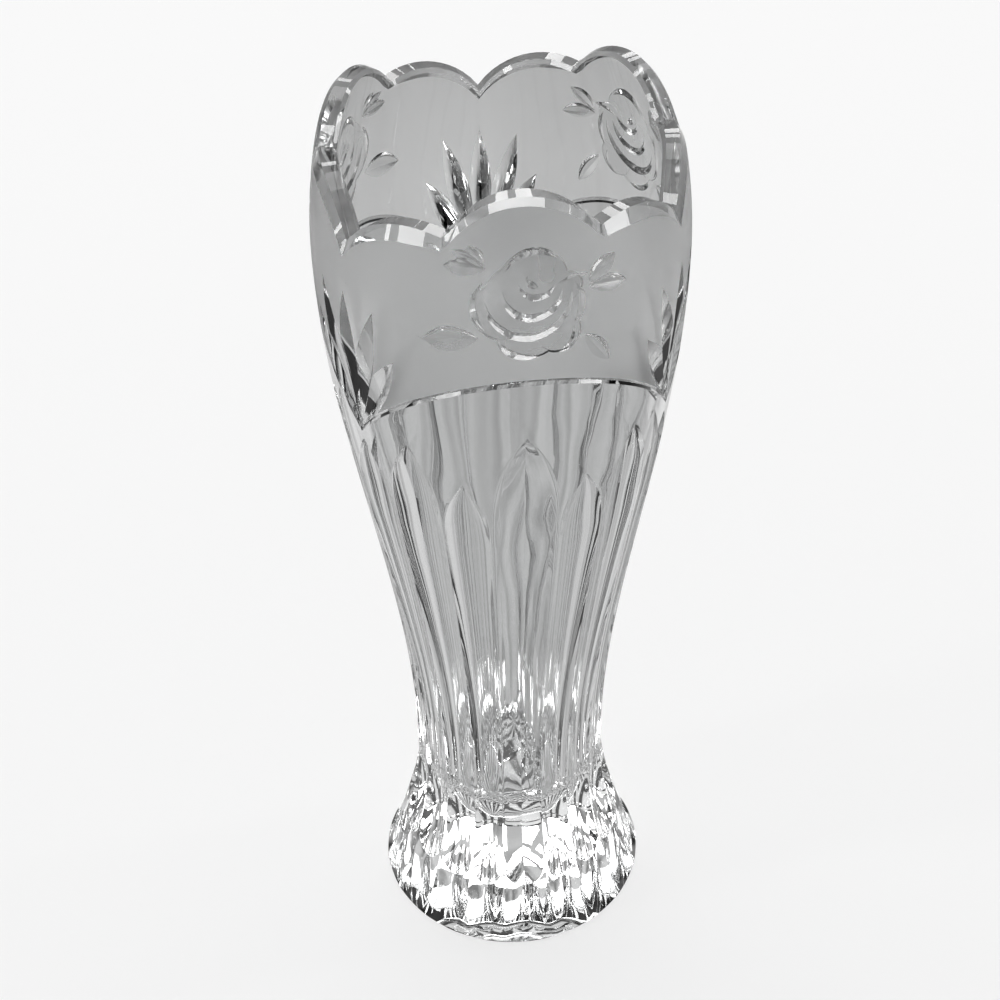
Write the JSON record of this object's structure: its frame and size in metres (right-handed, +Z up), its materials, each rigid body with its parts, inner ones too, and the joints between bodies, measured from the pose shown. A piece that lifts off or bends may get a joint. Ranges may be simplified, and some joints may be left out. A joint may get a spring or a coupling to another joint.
{
  "type": "bud vase",
  "caption": "Clear cut-glass bud vase with a flared foot, a fluted waist, a scalloped rim and a satin upper band cut with roses and leaf fans.",
  "frame": {"origin": "middle of the foot's underside, on the surface that the vase stands on", "axes": "+Z up along the axis of the vase, -Y through the middle of a rose panel"},
  "size_m": [0.0698, 0.0698, 0.2],
  "materials": {
    "clear_crystal": "polished clear crystal, ground to a satin finish on the outside of the upper band"
  },
  "bodies": {
    "root": {"vase_body": "clear_crystal"}
  },
  "joints": []
}
